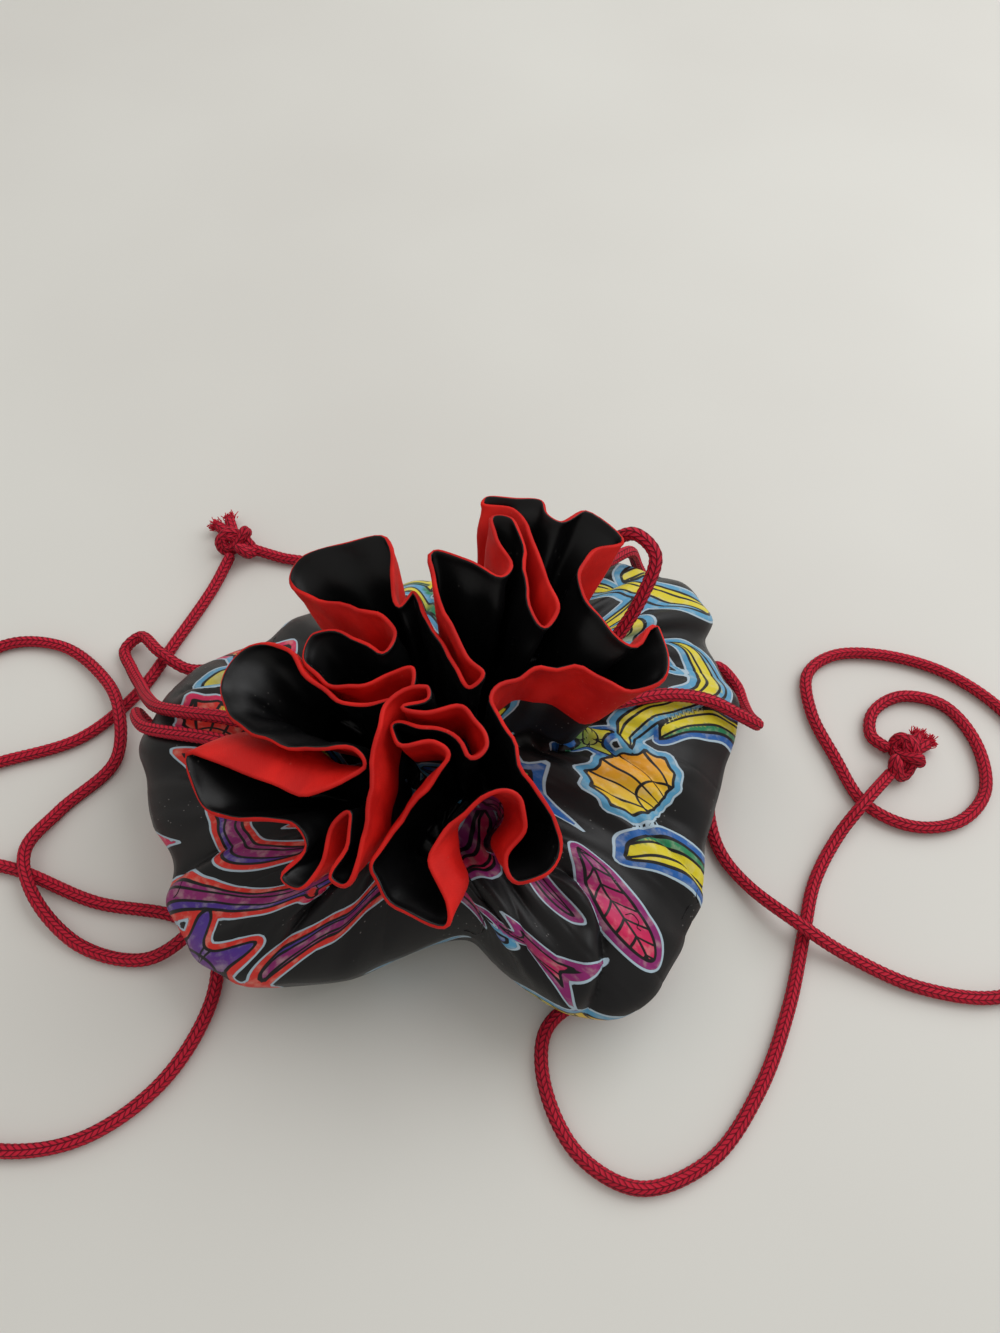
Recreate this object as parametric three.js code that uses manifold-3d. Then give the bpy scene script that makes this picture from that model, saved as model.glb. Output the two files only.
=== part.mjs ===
// A round drawstring pouch. It is sewn from three pieces of cloth that lie flat as one big
// disc: a printed outer cloth, a black lining, and a red band round the outside of the edge.
// Two cords run in a channel below the edge. Drawn shut, the edge stands up as a ruffle of
// deep petals, and the cloth below the channel swells out into a soft lobed bag.
// Millimetres, +Z up. Outlines are drawn from the middle of the mouth, seen from above,
// and the whole pouch is then moved so that the middle of the bag is the origin.
import * as THREE from 'three';
import Module from 'manifold-3d';
import { mergeVertices } from 'three/addons/utils/BufferGeometryUtils.js';

const wasm = await Module();
wasm.setup();

// Cloth, in mm
const clothThickness = 0.5;
const layerGap = 0.3;
const seamGap = 0.4;
const headingHeight = 44;
const bandHeight = 25;
const bandTurnover = 0.9;

// The drawn-up bag, in mm
const channelHeight = 57;
const channelTilt = 0.06;
const channelGather = 0.62;
const bellyHeight = 30;
const neckDrop = 2;
const shoulderFullness = 3;
const footSize = 0.66;
// Rows of the cloth between foot and belly: share of the belly's size, share of its height
const sideLevels = [[0.82, 0.14], [0.95, 0.45]];
// Rows between belly and channel: share of the way out, passes that ease the folds
const shoulderLevels = [[1, 0], [0.84, 30], [0.6, 20], [0.32, 9], [0.12, 2]];

// Cords, in mm
const cordDiameter = 4.5;
const cordSides = 8;
const cordStep = 13.5;
const knotLength = 17;
const knotDiameter = 13;
const tailLength = 14;
const tailDiameter = 5.5;
const touchGap = 0.3;

// Where the folds of the mouth come together, on the drawing
const mouth = new THREE.Vector2(6, -3);

// The ruffle's edge, petal by petal and anticlockwise from the back left: x, y, height, and
// for some points how far the cloth below them bulges sideways: x, y
const petals = {
  backLeft: [
    [-15, 55, 99], [-29, 54, 97], [-43, 51, 93], [-46, 44, 90], [-36, 37, 91], [-17, 29, 95],
    [-11, 21, 97], [-14, 14, 97],
  ],
  leftInner: [
    [-26, 23, 93], [-37, 25, 90], [-39, 16, 89], [-32, 8, 90], [-23, 5, 92], [-12, 8, 95],
    [-5, 8, 98], [-5, 2, 97],
  ],
  left: [
    [-16, -2, 95], [-27, 0, 93], [-37, 10, 90], [-46, 21, 88], [-57, 23, 86], [-64, 13, 85],
    [-61, 0, 86, 0, 2], [-52, -9, 88, 0, 6], [-38, -15, 91, 0, 5], [-21, -17, 96],
  ],
  leftFront: [
    [-18, -22, 94], [-34, -28, 89, 0, 10], [-50, -22, 87, 0, 13], [-72, -13, 82, 0, 7],
    [-70, -21, 81], [-63, -30, 80], [-50, -33, 81], [-39, -34, 82], [-35, -40, 80],
    [-41, -49, 78], [-36, -52, 78], [-30, -46, 80], [-27, -35, 84], [-22, -33, 87],
  ],
  narrowFront: [
    [-22, -41, 85], [-27, -50, 81], [-23, -52, 81], [-19, -45, 85], [-16, -31, 92],
    [-14, -12, 99], [-10, -3, 100], [0, 1, 101],
  ],
  centreFold: [
    [0, -3.5, 101], [-7, -6, 100], [0, -8, 100], [10, -6, 100], [15, -11, 100], [17, -18, 100],
    [13, -21, 100], [6, -13, 99],
  ],
  centreFront: [
    [-3, -11, 98], [-10, -10, 96], [-8, -16, 97], [2, -16, 98],
    [6, -20, 98],
  ],
  front: [
    [0, -28, 92, -3, 2], [-13, -43, 84], [-15, -49, 82], [-8, -58, 80], [5, -63, 79, 3, 0],
    [6, -57, 82, 6, 0], [1, -47, 87, 6, 0], [7, -38, 90, 3, 0], [20, -30, 95],
  ],
  frontRight: [
    [27, -32, 93], [28, -38, 89], [23, -45, 85], [26, -52, 83], [34, -50, 84], [38, -40, 87],
    [28, -24, 95], [22, -11, 99],
  ],
  right: [
    [18, -4, 100], [24, 4, 98, 1, 2], [33, 8, 97, 0, 5], [48, 9, 94, 0, 3], [60, 4, 91],
    [71, 10, 91], [71, 20, 92], [69, 26, 93], [60, 16, 97], [50, 26, 100], [46, 34, 100],
    [46, 42, 101],
  ],
  backRight: [
    [51, 49, 101], [60, 53, 99], [48, 64, 101], [40, 58, 103], [36, 61, 103], [34, 65.5, 104],
    [26, 66.5, 104], [16.5, 67, 104], [15.5, 64.5, 104], [25, 62.5, 104], [29, 55, 105],
    [35, 36, 104], [38, 26, 103], [34, 20, 102],
  ],
  narrowBack: [
    [30, 27, 103], [28, 45, 105], [25, 56, 107], [19, 57, 107], [19, 50, 107], [24, 40, 105],
    [21, 36, 105],
  ],
  back: [
    [11, 40, 108], [1, 43, 108], [2, 30, 106], [11, 10, 103], [16, 4, 102], [12, 0.5, 100],
    [8, 6, 101], [1, 20, 100], [-4, 31, 98], [-6, 36, 97], [-10, 31, 96], [-13, 42, 97],
  ],
};

// The bag's widest outline, anticlockwise from the right
const belly = [
  [107, 33], [101, 47], [97, 58], [101, 68], [95, 80], [83, 89], [66, 93], [42, 92], [18, 90],
  [-6, 86], [-24, 82], [-44, 76], [-60, 66], [-66, 57], [-78, 54], [-93, 46], [-103, 31],
  [-106, 15], [-102, -1], [-96, -15], [-88, -28], [-87, -42], [-80, -54], [-66, -64],
  [-46, -68], [-28, -65], [-12, -58], [3, -54], [12, -53], [20, -59], [31, -70], [44, -77],
  [58, -77], [69, -71], [78, -58], [86, -42], [88, -28], [92, -14], [99, 3], [105, 18],
].map(([x, y]) => new THREE.Vector3(x, y, 0));
const bellyCurve = new THREE.CatmullRomCurve3(belly, true);
// Share of the way round the belly at which the ruffle's first point stands
const bellyStart = 0.235;
// Makes a bulge its full size at its widest
const bulgeScale = 6.75;

const rim = Object.values(petals).flat().map(([x, y, z]) => new THREE.Vector3(x, y, z));
const bulges = Object.values(petals).flat()
  .map(([, , , x = 0, y = 0]) => new THREE.Vector3(x, y, 0));
const columns = rim.length;
const rimShare = shareAlong(rim);
const bellyBox = new THREE.Box3().setFromPoints(bellyCurve.getSpacedPoints(400));
const middle = bellyBox.getCenter(new THREE.Vector3());

// How far round a closed line each of its points stands, from 0 to 1
function shareAlong(points) {
  const steps = points.map((p, i) => p.distanceTo(points[(i + 1) % points.length]));
  const total = steps.reduce((sum, step) => sum + step, 0);
  let run = 0;
  return steps.map((step) => {
    const share = run / total;
    run += step;
    return share;
  });
}

function channelPoint(i) {
  const p = rim[i];
  const x = mouth.x + (p.x - mouth.x) * channelGather;
  const y = mouth.y + (p.y - mouth.y) * channelGather;
  return new THREE.Vector3(x, y, channelHeight + y * channelTilt);
}

// up is 0 at the channel and 1 at the edge: the cloth leaves the channel steeply, then flares.
// A bulge is widest at two thirds of the way up.
function rufflePoint(i, up) {
  const low = channelPoint(i);
  const out = 0.45 * up + 0.55 * up * up;
  const rise = up * (1.2 - 0.2 * up);
  const x = THREE.MathUtils.lerp(low.x, rim[i].x, out);
  const y = THREE.MathUtils.lerp(low.y, rim[i].y, out);
  const point = new THREE.Vector3(x, y, THREE.MathUtils.lerp(low.z, rim[i].z, rise));
  return point.addScaledVector(bulges[i], bulgeScale * up * up * (1 - up));
}

// A closed line after some passes of averaging each point with its neighbours: small folds
// go first, and no fold crosses another
function eased(line, passes) {
  if (passes === 0) return line;
  const last = line.length - 1;
  return eased(line.map((p, i) => {
    const before = line[i === 0 ? last : i - 1];
    const after = line[i === last ? 0 : i + 1];
    return before.clone().add(after).multiplyScalar(0.25).addScaledVector(p, 0.5);
  }), passes - 1);
}

// out is 0 at the channel and 1 at the belly: the folds open out and the cloth turns down
function shoulderRing(out, passes) {
  return eased(rim.map((_, i) => channelPoint(i)), passes).map((low, i) => {
    const wide = bellyCurve.getPointAt((rimShare[i] + bellyStart) % 1);
    return new THREE.Vector3(
      THREE.MathUtils.lerp(low.x, wide.x, out),
      THREE.MathUtils.lerp(low.y, wide.y, out),
      THREE.MathUtils.lerp(low.z - neckDrop, bellyHeight, Math.pow(out, shoulderFullness)),
    );
  });
}

// The lower half: a share of the belly's outline at a share of its height
function footPoint(i, size, up) {
  const wide = bellyCurve.getPointAt((rimShare[i] + bellyStart) % 1);
  const floor = layerGap / 2 + clothThickness;
  return new THREE.Vector3(
    middle.x + (wide.x - middle.x) * size,
    middle.y + (wide.y - middle.y) * size,
    THREE.MathUtils.lerp(floor, bellyHeight, up),
  );
}

// Rings of the cloth's mid-surface, from the foot up to the edge
const ring = (place) => rim.map((_, i) => place(i));
const footRings = [ring((i) => footPoint(i, footSize, 0))];
const sideRings = sideLevels.map(([size, up]) => ring((i) => footPoint(i, size, up)));
const shoulderRings = shoulderLevels.map(([out, passes]) => shoulderRing(out, passes));
const seamShare = 1 - bandHeight / headingHeight;
const edgeShare = 1 - bandTurnover / headingHeight;
const headingRings = [0, seamShare].map((up) => ring((i) => rufflePoint(i, up)));
const bandStart = seamShare + seamGap / headingHeight;
const bandShares = [bandStart, (bandStart + edgeShare) / 2, edgeShare, 1];
const bandRings = bandShares.map((up) => ring((i) => rufflePoint(i, up)));
const rings = [...footRings, ...sideRings, ...shoulderRings, ...headingRings, ...bandRings];

// Outward normals of the mid-surface at each ring and column
const normals = rings.map((line, j) => line.map((point, i) => {
  if (j < footRings.length) return new THREE.Vector3(0, 0, -1);
  const round = line[(i + 1) % columns].clone().sub(line[(i - 1 + columns) % columns]);
  const above = rings[Math.min(j + 1, rings.length - 1)][i];
  const below = rings[j - 1][i];
  return round.cross(above.clone().sub(below)).normalize();
}));

function shifted(j, i, offset) {
  return rings[j][i].clone().addScaledVector(normals[j][i], offset);
}

// A closed sheet of cloth between two offsets from the mid-surface, over rings from..to.
// A sheet that starts at the foot is closed there by a pole on each face.
function sheet(from, to, inside, outside) {
  const vertices = [];
  const add = (p) => vertices.push(p) - 1;
  const face = (offset) => {
    const rows = [];
    for (let j = from; j <= to; j += 1) rows.push(rim.map((_, i) => add(shifted(j, i, offset))));
    return rows;
  };
  const outer = face(outside);
  const inner = face(inside);
  const triangles = [];
  const quad = (a, b, c, d) => triangles.push([a, b, c], [a, c, d]);
  for (let i = 0; i < columns; i += 1) {
    const k = (i + 1) % columns;
    for (let j = 0; j < to - from; j += 1) {
      quad(outer[j][i], outer[j][k], outer[j + 1][k], outer[j + 1][i]);
      quad(inner[j + 1][k], inner[j][k], inner[j][i], inner[j + 1][i]);
    }
    quad(outer[to - from][i], outer[to - from][k], inner[to - from][k], inner[to - from][i]);
    if (from > 0) quad(outer[0][k], outer[0][i], inner[0][i], inner[0][k]);
  }
  if (from === 0) {
    const floor = layerGap / 2 + clothThickness;
    const outerPole = add(new THREE.Vector3(middle.x, middle.y, floor - outside));
    const innerPole = add(new THREE.Vector3(middle.x, middle.y, floor - inside));
    for (let i = 0; i < columns; i += 1) {
      const k = (i + 1) % columns;
      triangles.push([outerPole, outer[0][k], outer[0][i]], [innerPole, inner[0][i], inner[0][k]]);
    }
  }
  const positions = vertices.flatMap((p) => p.toArray());
  const geometry = new THREE.BufferGeometry();
  geometry.setAttribute('position', new THREE.Float32BufferAttribute(positions, 3));
  geometry.setIndex(triangles.flat());
  geometry.computeVertexNormals();
  return geometry;
}

// Routes of the four cord ends, on the drawing: each runs between the channel and a knot,
// over the shoulder of the bag, down its side and along the table
const leftShortRoute = [
  [-45, 4, 60], [-56, 8, 59], [-69, 13, 56], [-84, 18, 50], [-98, 25, 40.6], [-108, 36, 27],
  [-117, 49, 13], [-125, 61, 5], [-130, 71, 3], [-124, 76, 5], [-114, 67, 8], [-102, 61, 4.5],
  [-86, 65, 2.4], [-70, 74, 2.4], [-56, 86, 2.4], [-50, 101, 2.4], [-57, 113, 2.4],
  [-72, 117, 2.4], [-86, 121, 4],
];
const leftLongRoute = [
  [-93, 118, 4], [-99, 101, 2.4], [-110, 76, 2.4], [-122, 51, 2.4], [-140, 32, 2.4],
  [-168, 22, 2.4], [-190, 13, 5.5], [-203, -2, 5], [-210, -30, 2.4], [-202, -68, 2.4],
  [-178, -100, 2.4], [-142, -112, 2.4], [-112, -109, 2.4], [-88, -91, 2.4], [-76, -64, 2.4],
  [-79, -45, 2.4], [-93, -37.5, 2.4], [-122, -32.5, 2.4], [-150, -21.5, 2.4], [-192, -8, 2.4],
  [-204, 26, 2.4], [-197, 58, 2.4], [-178, 74, 2.4], [-156, 73, 2.4], [-137, 59, 3.5],
  [-126, 42, 7], [-125, 22, 2.8], [-142, 2, 2.4], [-150, -14, 5], [-143, -31, 6],
  [-124, -48, 2.4], [-100, -52.5, 3], [-84, -42, 7], [-80, -24, 3], [-93, 2, 2.4],
  [-105, 26, 5], [-112, 32, 22], [-102, 18, 39], [-72, 6, 54], [-47, -3, 58.5],
];
const rightShortRoute = [
  [52, 15, 60.5], [76, 22, 55.5], [92, 24, 48], [104, 22.5, 40], [111.5, 22.5, 33],
  [113.5, 29.5, 22], [114.5, 37.5, 12], [115, 46, 5], [114, 55, 2.4], [107.5, 63.5, 2.4],
  [99.5, 60, 2.4], [98, 45, 2.4], [99.5, 24, 2.4], [98, -2, 2.4], [101, -15, 2.4],
  [109, -27, 3.4], [124, -42, 8], [139, -51, 4], [163, -62, 2.4], [190, -65, 2.4],
  [213, -54, 2.4], [228, -28, 2.4], [230, 6, 2.4], [219, 40, 2.4], [199, 60, 2.4],
  [174, 69, 2.4], [154, 68.5, 2.4], [143, 60, 2.4], [142, 43, 2.4], [148, 24, 2.4],
  [156, 5, 2.4], [172, -4, 2.4], [190, -2, 2.4], [202, 10, 2.4], [203, 30, 2.4],
  [194, 46, 2.4], [178, 50, 2.4], [166, 43, 2.4], [163.5, 33, 2.4], [169, 26, 4],
];
const rightLongRoute = [
  [168, 17, 4.5], [155, 4, 8], [144, -8, 3.5], [133, -25, 2.4], [126, -45, 2.4],
  [118, -68, 2.4], [105, -94, 2.4], [87, -115, 2.4], [64, -123, 2.4], [45, -113, 2.4],
  [35, -92, 2.4], [36, -76, 2.4], [46, -67.5, 2.4], [63, -66, 2.4], [76, -52, 2.4],
  [84, -30, 2.4], [87, -8, 2.4], [91, 14, 2.4], [91.5, 38, 2.4], [89, 58, 2.4], [87, 80, 2.4],
  [83, 96, 6], [76, 98, 22], [70, 91, 42], [60, 78, 54], [56, 69, 67], [58, 65, 83],
  [65, 62, 91], [71, 55, 89], [67, 45, 80], [60, 37, 70], [54, 32, 64], [47, 28, 60.5],
];

// A tube of the cord's size, or of that size and a gap all round, along a route
function cordTube(route, spare = 0) {
  const path = new THREE.CatmullRomCurve3(route.map((p) => new THREE.Vector3(...p)));
  const radius = cordDiameter / 2 + spare;
  const section = new THREE.Shape();
  for (let i = 0; i < cordSides; i += 1) {
    const angle = (i / cordSides) * 2 * Math.PI;
    const place = [radius * Math.cos(angle), radius * Math.sin(angle)];
    if (i === 0) section.moveTo(...place);
    else section.lineTo(...place);
  }
  const steps = Math.ceil(path.getLength() / cordStep);
  return new THREE.ExtrudeGeometry(section, { steps, bevelEnabled: false, extrudePath: path });
}

function toSolid(geometry) {
  const bare = geometry.clone();
  bare.deleteAttribute('normal');
  bare.deleteAttribute('uv');
  const merged = mergeVertices(bare, 1e-4);
  return new wasm.Manifold(new wasm.Mesh({
    numProp: 3,
    vertProperties: merged.attributes.position.array,
    triVerts: new Uint32Array(merged.index.array),
  }));
}

function toGeometry(solid) {
  const mesh = solid.getMesh();
  const geometry = new THREE.BufferGeometry();
  geometry.setAttribute('position', new THREE.BufferAttribute(mesh.vertProperties, 3));
  geometry.setIndex(new THREE.BufferAttribute(mesh.triVerts, 1));
  geometry.computeVertexNormals();
  return geometry;
}

// An overhand knot pulled tight: a fat lump of three turns lying along its tails, which
// are the two frayed cord ends. The cords enter it through holes of their own size.
function knot(place, toTails, routes) {
  const half = knotLength / 2;
  const radius = knotDiameter / 2;
  const profile = [[0, -half], [0.62, -0.82], [1, -0.45], [0.86, -0.1], [1, 0.3], [0.6, 0.8], [0, half]]
    .map(([r, h], i, all) => (i === 0 || i === all.length - 1
      ? new THREE.Vector2(0, h)
      : new THREE.Vector2(r * radius, h * half)));
  const lump = new THREE.LatheGeometry(profile, 12);
  lump.rotateZ(-Math.PI / 2);
  lump.rotateZ(Math.atan2(toTails[1], toTails[0]));
  lump.translate(...place);
  let solid = toSolid(lump);
  for (const side of [-1, 1]) {
    const tail = new THREE.CylinderGeometry(tailDiameter / 2, cordDiameter / 2, tailLength, cordSides);
    tail.rotateZ(-Math.PI / 2);
    tail.translate(half * 0.7 + tailLength / 2, 0, 0);
    tail.rotateZ(Math.atan2(toTails[1], toTails[0]) + side * 0.3);
    tail.translate(place[0], place[1], tailDiameter / 2);
    solid = solid.add(toSolid(tail));
  }
  for (const route of routes) solid = solid.subtract(toSolid(cordTube(route, touchGap)));
  return toGeometry(solid);
}

const printed = new THREE.MeshStandardMaterial({ color: 0x1b1b1b, roughness: 0.55, metalness: 0 });
const satin = new THREE.MeshStandardMaterial({ color: 0x121213, roughness: 0.45, metalness: 0 });
const redCloth = new THREE.MeshStandardMaterial({ color: 0xbe231c, roughness: 0.6, metalness: 0 });
const redCord = new THREE.MeshStandardMaterial({ color: 0xa5192d, roughness: 0.8, metalness: 0 });

const group = new THREE.Group();
group.position.set(-middle.x, -middle.y, 0);

function piece(name, geometry, material) {
  const mesh = new THREE.Mesh(geometry, material);
  mesh.name = name;
  group.add(mesh);
}

const outsideStart = layerGap / 2;
const outsideEnd = layerGap / 2 + clothThickness;
const seamRing = rings.length - bandRings.length - 1;
const channelRing = seamRing - headingRings.length + 1;
const lastRing = rings.length - 1;
piece('outer_cloth', sheet(0, seamRing, outsideStart, outsideEnd), printed);
piece('red_band', sheet(seamRing + 1, lastRing, outsideStart, outsideEnd), redCloth);
piece('lining', sheet(channelRing, lastRing - 1, -outsideEnd, -outsideStart), satin);
piece('drawcord_left_short', cordTube(leftShortRoute), redCord);
piece('drawcord_left_long', cordTube(leftLongRoute), redCord);
piece('drawcord_right_short', cordTube(rightShortRoute), redCord);
piece('drawcord_right_long', cordTube(rightLongRoute), redCord);
piece('knot_left', knot([-90, 123, 6.6], [-0.6, 0.8], [leftShortRoute, leftLongRoute]), redCord);
piece('knot_right', knot([174, 22, 6.6], [0.7, 0.7], [rightShortRoute, rightLongRoute]), redCord);

export default group;
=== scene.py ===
import math

import bpy
import numpy as np
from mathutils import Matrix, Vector


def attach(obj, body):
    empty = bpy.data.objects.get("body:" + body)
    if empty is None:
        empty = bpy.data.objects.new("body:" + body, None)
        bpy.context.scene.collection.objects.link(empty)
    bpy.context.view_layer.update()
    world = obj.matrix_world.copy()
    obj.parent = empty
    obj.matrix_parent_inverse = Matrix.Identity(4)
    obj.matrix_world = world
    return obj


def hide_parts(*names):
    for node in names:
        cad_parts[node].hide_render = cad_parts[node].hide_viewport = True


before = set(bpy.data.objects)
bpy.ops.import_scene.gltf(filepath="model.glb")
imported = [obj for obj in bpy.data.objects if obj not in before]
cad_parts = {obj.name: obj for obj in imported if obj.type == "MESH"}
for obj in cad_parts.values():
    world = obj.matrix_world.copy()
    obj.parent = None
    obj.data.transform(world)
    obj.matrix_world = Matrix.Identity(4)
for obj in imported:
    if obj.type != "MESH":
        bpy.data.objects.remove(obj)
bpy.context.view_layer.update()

millimetre = 0.001
middle = np.array([0.00055, 0.00798, 0.0])   # of the bag, on the drawing: it is the frame's origin


# One colour from its usual 0 to 255 values, as the shader wants it
def paint(red, green, blue):
    shares = [c / 255 for c in (red, green, blue)]
    return [s / 12.92 if s <= 0.04045 else ((s + 0.055) / 1.055) ** 2.4 for s in shares] + [1.0]


# A smooth curve through points: perSpan points for each span, open or closed
def smoothCurve(points, perSpan, closed=False):
    p = np.array(points, float)
    if closed:
        p0, p1, p2, p3 = np.roll(p, 1, 0), p, np.roll(p, -1, 0), np.roll(p, -2, 0)
    else:
        p = np.vstack([2 * p[0] - p[1], p, 2 * p[-1] - p[-2]])
        p0, p1, p2, p3 = p[:-3], p[1:-2], p[2:-1], p[3:]
    d0, d1, d2 = [np.linalg.norm(span, axis=1)[:, None] ** 0.5 for span in (p1 - p0, p2 - p1, p3 - p2)]
    start = p2 - p1 + d1 * ((p1 - p0) / d0 - (p2 - p0) / (d0 + d1))
    end = p2 - p1 + d1 * ((p3 - p2) / d2 - (p3 - p1) / (d1 + d2))
    t = (np.arange(perSpan) / perSpan)[:, None, None]
    line = (2 * t**3 - 3 * t**2 + 1) * p1 + (t**3 - 2 * t**2 + t) * start
    line += (3 * t**2 - 2 * t**3) * p2 + (t**3 - t**2) * end
    line = line.transpose(1, 0, 2).reshape(-1, p.shape[1])
    return line if closed else np.vstack([line, p2[-1:]])


# 0 up to the start, then up to 1 over the span
def rising(value, start, span):
    return np.clip((value - start) / span, 0, 1)


# How far along a line each of its points stands, from 0
def distances(line):
    return np.concatenate([[0], np.cumsum(np.linalg.norm(np.diff(line, axis=0), axis=1))])


# The points at the given distances along a line
def pointsAt(line, places):
    along = distances(line)
    return np.stack([np.interp(places, along, line[:, k]) for k in range(line.shape[1])], axis=-1)


# A new object in the scene
def placed(name, data, at=(0, 0, 0)):
    made = bpy.data.objects.new(name, data)
    made.location = at
    bpy.context.scene.collection.objects.link(made)
    return made


# A mesh of rows of points, each row a closed line. uv has one more column than the rows have
# points, because the last faces end where the first ones start. A pole closes an end.
def rowMesh(name, rows, uv, material, firstPole=None, lastPole=None):
    height, width = rows.shape[:2]
    j, i = np.meshgrid(np.arange(height - 1), np.arange(width), indexing="ij")
    k = (i + 1) % width
    faces = np.stack([j * width + i, j * width + k, (j + 1) * width + k, (j + 1) * width + i], axis=-1)
    faces = faces.reshape(-1, 4).tolist()
    corners = np.stack([uv[:-1, :-1], uv[:-1, 1:], uv[1:, 1:], uv[1:, :-1]], axis=2).reshape(-1, 2)
    points = rows.reshape(-1, 3)
    for pole, row, turn in ((firstPole, 0, -1), (lastPole, height - 1, 1)):
        if pole is None:
            continue
        points = np.vstack([points, np.array(pole)[None]])
        tip = len(points) - 1
        ring = [row * width + c for c in range(width)]
        faces += [[ring[c], ring[(c + 1) % width], tip][::turn] for c in range(width)]
        fan = np.stack([uv[row, :-1], uv[row, 1:], (uv[row, :-1] + uv[row, 1:]) / 2], axis=1)
        corners = np.vstack([corners, fan[:, ::turn].reshape(-1, 2)])
    mesh = bpy.data.meshes.new(name)
    mesh.from_pydata(points.tolist(), [], faces)
    mesh.uv_layers.new(name="flat").data.foreach_set("uv", corners.ravel())
    mesh.shade_smooth()
    mesh.materials.append(material)
    return placed(name, mesh)


# Several pieces made into one
def joined(name, parts):
    for other in bpy.context.selected_objects:
        other.select_set(False)
    bpy.context.view_layer.objects.active = parts[0]
    for part in parts:
        part.select_set(True)
    bpy.ops.object.join()
    parts[0].name = name
    parts[0].select_set(False)
    return parts[0]


# Every piece of the object is put on its body, and the solids it stands for are hidden
def dress(piece, finish, *nodes):
    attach(piece, "root")
    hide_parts(*nodes)


print("camera")
view = {
    "place": (0.02025, -0.15198, 0.362),
    "pitchDegrees": 30,         # up from straight down
    "lens": 37.44,
    "sensor": 36,
    "nearest": 0.01,
}
cameraData = bpy.data.cameras.new("camera")
cameraData.lens = view["lens"]
cameraData.sensor_width = view["sensor"]
cameraData.sensor_fit = "HORIZONTAL"
cameraData.clip_start = view["nearest"]
camera = placed("camera", cameraData, view["place"])
camera.rotation_euler = (math.radians(view["pitchDegrees"]), 0, 0)
bpy.context.scene.camera = camera


# Shader helpers: a new material, a node with its settings, and links by socket name
class Shader:
    def __init__(self, name, group=False):
        if group:
            self.tree = bpy.data.node_groups.new(name, "ShaderNodeTree")
            self.owner = self.tree
        else:
            self.owner = bpy.data.materials.new(name)
            self.owner.use_nodes = True
            self.owner.node_tree.nodes.clear()
            self.tree = self.owner.node_tree

    def node(self, kind, settings=None, **inputs):
        made = self.tree.nodes.new(kind)
        for key, value in (settings or {}).items():
            setattr(made, key, value)
        for key, value in inputs.items():
            self.fill(made.inputs[int(key[1:]) if key[0] == "_" else key.replace("_", " ")], value)
        return made

    def fill(self, socket, value):
        if isinstance(value, bpy.types.NodeSocket):
            self.tree.links.new(value, socket)
        else:
            socket.default_value = value

    def math(self, operation, *values):
        inputs = {f"_{n}": v for n, v in enumerate(values)}
        return self.node("ShaderNodeMath", {"operation": operation}, **inputs).outputs[0]

    def times(self, *values):
        return self.math("MULTIPLY", *values)

    # From 0 at low to 1 at high
    def ramp(self, value, low, high):
        settings = {"interpolation_type": "SMOOTHSTEP"}
        inputs = {"Value": value, "From_Min": low, "From_Max": high}
        return self.node("ShaderNodeMapRange", settings, **inputs).outputs[0]

    def mix(self, share, low, high):
        made = self.node("ShaderNodeMix", {"data_type": "RGBA"}, _0=share, _6=low, _7=high)
        return made.outputs[2]

    # Where a point of the cloth or cord lies when it is laid flat
    def flatPlace(self):
        return self.node("ShaderNodeUVMap", {"uv_map": "flat"}).outputs[0]

    def flatNoise(self, place, scale, detail):
        settings = {"noise_dimensions": "2D"}
        return self.node("ShaderNodeTexNoise", settings, Vector=place, Scale=scale, Detail=detail).outputs[0]

    def bump(self, height, strength, distance):
        return self.node("ShaderNodeBump", Height=height, Strength=strength, Distance=distance).outputs[0]

    def sockets(self, ins, outs):
        kinds = {"f": "NodeSocketFloat", "c": "NodeSocketColor", "v": "NodeSocketVector"}
        for side, wanted in (("INPUT", ins), ("OUTPUT", outs)):
            for name, kind in wanted.items():
                self.tree.interface.new_socket(name=name, in_out=side, socket_type=kinds[kind])
        self.inside = self.tree.nodes.new("NodeGroupInput").outputs
        self.outside = self.tree.nodes.new("NodeGroupOutput").inputs

    def use(self, group, **inputs):
        made = self.tree.nodes.new("ShaderNodeGroup")
        made.node_tree = group
        for key, value in inputs.items():
            self.fill(made.inputs[key], value)
        return made.outputs

    # A surface of one gloss all over, and the material is done
    def finish(self, colour, rough, gloss, normal=None):
        shader = self.node("ShaderNodeBsdfPrincipled", Base_Color=colour, Roughness=rough)
        shader.inputs["Specular IOR Level"].default_value = gloss
        if normal is not None:
            self.tree.links.new(normal, shader.inputs["Normal"])
        output = self.tree.nodes.new("ShaderNodeOutputMaterial")
        self.tree.links.new(shader.outputs[0], output.inputs["Surface"])
        return self.owner


grain = {
    "fuzzScale": 900.0,         # of the fibres on a thread
    "slubScale": 60.0,          # of lighter and darker stretches of thread
    "speckScale": 210.0,        # of lint
    "patchScale": 45.0,         # of the places where lint gathers
    "threadHeight": 0.00008,
}


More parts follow.
